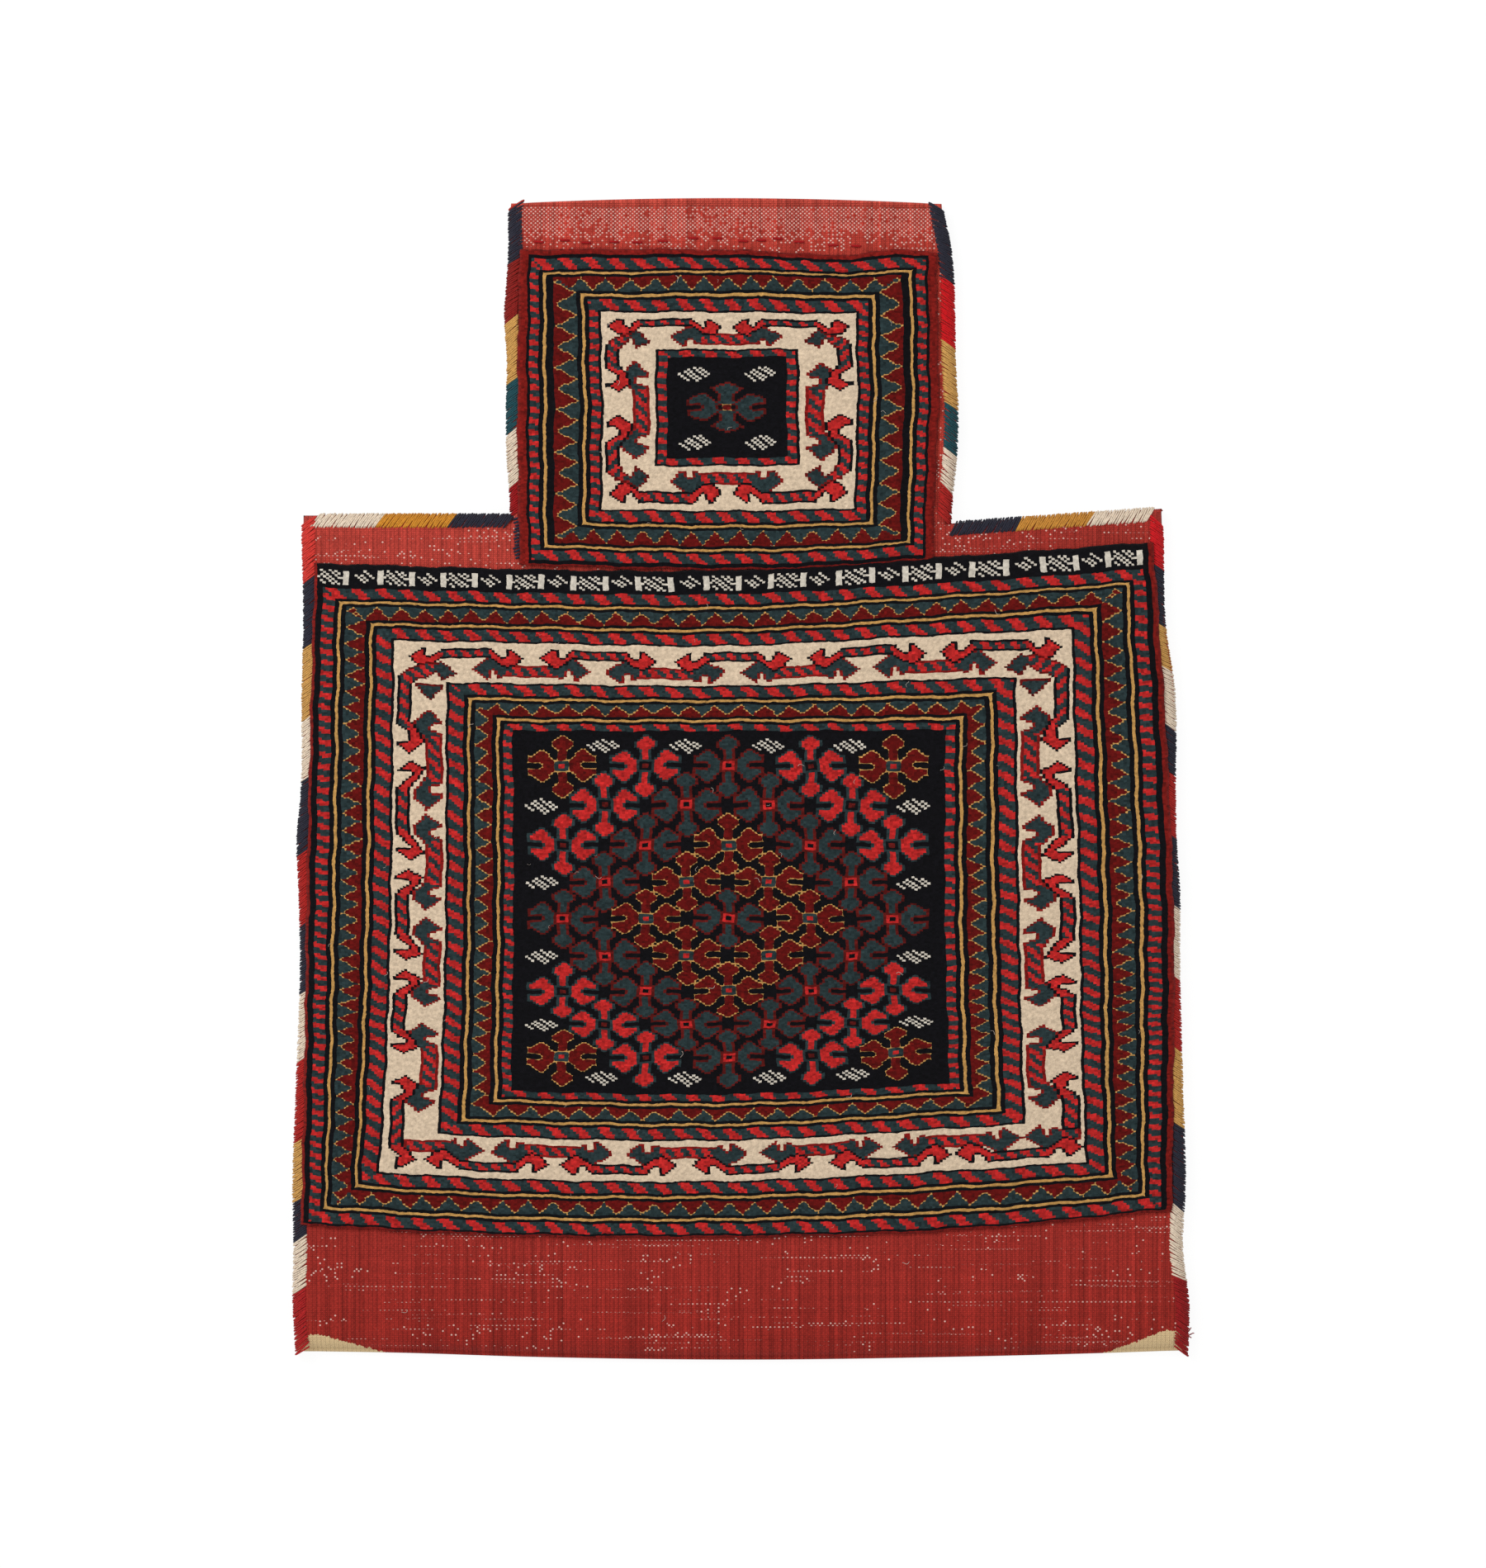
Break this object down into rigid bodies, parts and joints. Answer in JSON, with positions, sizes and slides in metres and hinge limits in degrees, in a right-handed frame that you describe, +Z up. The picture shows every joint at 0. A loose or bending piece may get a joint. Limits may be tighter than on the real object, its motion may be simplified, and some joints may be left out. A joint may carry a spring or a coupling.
{
  "type": "salt bag",
  "caption": "Pile-woven wool salt bag with a wide body, a narrow open neck, banded borders, a field of flower heads and coloured yarn bindings along its edges, lying flat.",
  "frame": {"origin": "under the centre of the bag's box, on the surface that the bag lies on", "axes": "+X to the bag's right as its pile front is seen, +Y from the folded foot to the open mouth, +Z up through the pile"},
  "size_m": [0.4458, 0.5784, 0.0138],
  "materials": {
    "red_cloth": "plain-woven wool cloth, brick red with pale warp showing",
    "body_pile": "cut wool pile in dark blue-black, red, dark red, green, gold and cream",
    "neck_pile": "cut wool pile in dark blue-black, red, dark red, green, gold and cream",
    "red_yarn": "overcast wool yarn, red",
    "navy_yarn": "overcast wool yarn, navy",
    "gold_yarn": "overcast wool yarn, gold",
    "cream_yarn": "overcast wool yarn, undyed cream",
    "teal_yarn": "overcast wool yarn, teal"
  },
  "bodies": {
    "root": {"binding_body_left_01_red": "red_yarn", "binding_body_left_02_navy": "navy_yarn", "binding_body_left_03_gold": "gold_yarn", "binding_body_left_04_cream": "cream_yarn", "binding_body_left_05_navy": "navy_yarn", "binding_body_left_06_red": "red_yarn", "binding_body_left_07_navy": "navy_yarn", "binding_body_left_08_cream": "cream_yarn", "binding_body_left_09_red": "red_yarn", "binding_body_left_10_gold": "gold_yarn", "binding_body_left_11_navy": "navy_yarn", "binding_body_left_12_cream": "cream_yarn", "binding_body_left_13_red": "red_yarn", "binding_body_right_01_red": "red_yarn", "binding_body_right_02_navy": "navy_yarn", "binding_body_right_03_gold": "gold_yarn", "binding_body_right_04_cream": "cream_yarn", "binding_body_right_05_navy": "navy_yarn", "binding_body_right_06_red": "red_yarn", "binding_body_right_07_navy": "navy_yarn", "binding_body_right_08_cream": "cream_yarn", "binding_body_right_09_red": "red_yarn", "binding_body_right_10_gold": "gold_yarn", "binding_body_right_11_navy": "navy_yarn", "binding_body_right_12_cream": "cream_yarn", "binding_body_right_13_red": "red_yarn", "binding_neck_left_01_red": "red_yarn", "binding_neck_left_02_navy": "navy_yarn", "binding_neck_left_03_red": "red_yarn", "binding_neck_left_04_gold": "gold_yarn", "binding_neck_left_05_teal": "teal_yarn", "binding_neck_left_06_cream": "cream_yarn", "binding_neck_left_07_red": "red_yarn", "binding_neck_right_01_navy": "navy_yarn", "binding_neck_right_02_red": "red_yarn", "binding_neck_right_03_gold": "gold_yarn", "binding_neck_right_04_teal": "teal_yarn", "binding_neck_right_05_cream": "cream_yarn", "binding_neck_right_06_red": "red_yarn", "binding_shoulder_left_01_cream": "cream_yarn", "binding_shoulder_left_02_gold": "gold_yarn", "binding_shoulder_left_03_navy": "navy_yarn", "binding_shoulder_right_01_navy": "navy_yarn", "binding_shoulder_right_02_gold": "gold_yarn", "binding_shoulder_right_03_cream": "cream_yarn", "body_pile": "body_pile", "neck_pile": "neck_pile", "woven_cloth": "red_cloth"}
  },
  "joints": []
}
